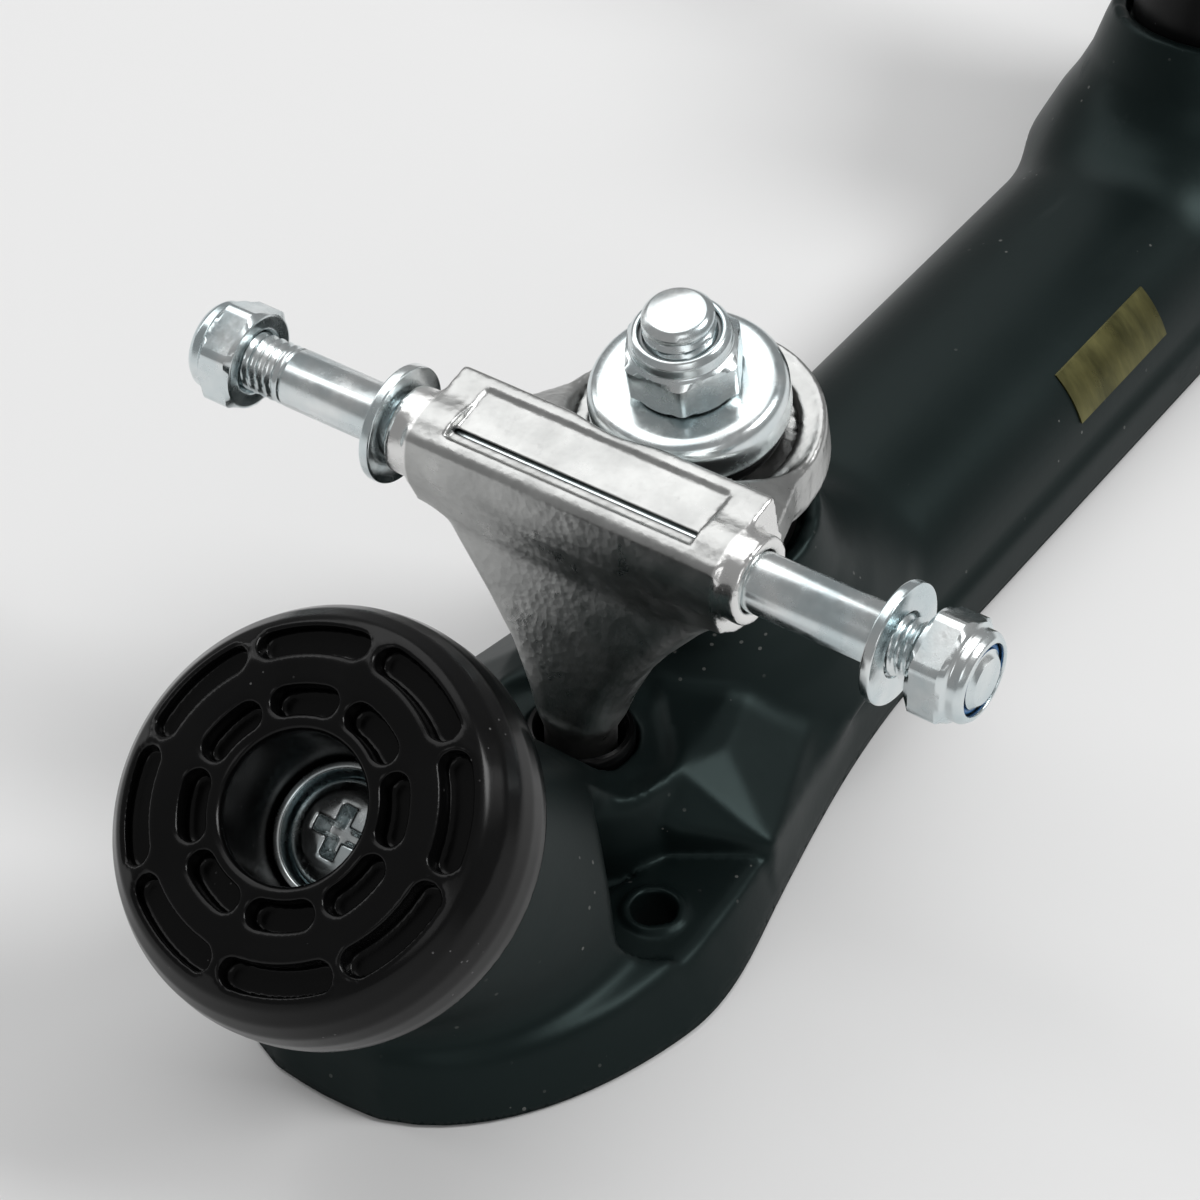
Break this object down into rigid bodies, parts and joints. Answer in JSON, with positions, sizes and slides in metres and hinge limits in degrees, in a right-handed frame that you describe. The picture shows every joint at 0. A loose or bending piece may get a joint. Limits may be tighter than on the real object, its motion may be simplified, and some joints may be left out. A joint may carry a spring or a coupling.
{
  "type": "roller skate plate",
  "caption": "Quad roller-skate chassis: hollow ribbed nylon sole plate carrying sprung steering hangers on kingpins, bare threaded axles with lock nuts and a bolted rubber toe stop",
  "frame": {"origin": "middle of the flat sole face, halfway between the two axles", "axes": "+X to the toe, +Y across the plate along the axles, +Z from the sole face towards the trucks"},
  "size_m": [0.3098, 0.117, 0.0739],
  "materials": {
    "nylon": "satin glass-filled nylon, slightly scuffed",
    "cast_aluminium": "tumbled casting, fine grain, machined end faces",
    "zinc_steel": "bright zinc plating",
    "rubber": "smooth moulded rubber",
    "nylon_blue": "nylon lock ring",
    "nylon_grey": "nylon lock ring",
    "foil": "blank foil label"
  },
  "bodies": {
    "plate": {"blank_label": "foil", "front_cup_washer": "zinc_steel", "front_kingpin": "zinc_steel", "front_kingpin_nut": "zinc_steel", "front_kingpin_nut_insert": "nylon_grey", "front_lower_cushion": "rubber", "front_pivot_cup": "rubber", "front_upper_cushion": "rubber", "rear_cup_washer": "zinc_steel", "rear_kingpin": "zinc_steel", "rear_kingpin_nut": "zinc_steel", "rear_kingpin_nut_insert": "nylon_grey", "rear_lower_cushion": "rubber", "rear_pivot_cup": "rubber", "rear_upper_cushion": "rubber", "sole_plate": "nylon", "toe_stop": "rubber", "toe_stop_bolt": "zinc_steel", "toe_stop_cup_washer": "zinc_steel", "toe_stop_nut": "zinc_steel"},
    "front_truck": {"front_hanger": "cast_aluminium", "front_axle": "zinc_steel", "front_axle_nut_left": "zinc_steel", "front_axle_nut_right": "zinc_steel", "front_nut_insert_left": "nylon_blue", "front_nut_insert_right": "nylon_blue"},
    "rear_truck": {"rear_hanger": "cast_aluminium", "rear_axle": "zinc_steel", "rear_axle_nut_left": "zinc_steel", "rear_axle_nut_right": "zinc_steel", "rear_nut_insert_left": "nylon_grey", "rear_nut_insert_right": "nylon_grey"},
    "front_left_washer": {"front_axle_washer_left": "zinc_steel"},
    "front_right_washer": {"front_axle_washer_right": "zinc_steel"},
    "rear_left_washer": {"rear_axle_washer_left": "zinc_steel"},
    "rear_right_washer": {"rear_axle_washer_right": "zinc_steel"}
  },
  "joints": [
    {"name": "front_steer", "type": "hinge", "parent": "plate", "child": "front_truck", "pos_m": [0.0993, 0, 0.015], "axis": [-0.6213, 0, 0.7836], "range_deg": [-8, 8], "stiffness_Nm_per_rad": 8},
    {"name": "rear_steer", "type": "hinge", "parent": "plate", "child": "rear_truck", "pos_m": [-0.0993, 0, 0.015], "axis": [0.6213, 0, 0.7836], "range_deg": [-8, 8], "stiffness_Nm_per_rad": 8},
    {"name": "front_left_washer_slide", "type": "slide", "parent": "front_truck", "child": "front_left_washer", "axis": [0, 1, 0], "range_m": [-0.0186, 0.0036]},
    {"name": "front_right_washer_slide", "type": "slide", "parent": "front_truck", "child": "front_right_washer", "axis": [0, 1, 0], "range_m": [-0.0217, 0.0005]},
    {"name": "rear_left_washer_slide", "type": "slide", "parent": "rear_truck", "child": "rear_left_washer", "axis": [0, 1, 0], "range_m": [-0.0219, 0.0003]},
    {"name": "rear_right_washer_slide", "type": "slide", "parent": "rear_truck", "child": "rear_right_washer", "axis": [0, 1, 0], "range_m": [-0.0036, 0.0186]}
  ]
}
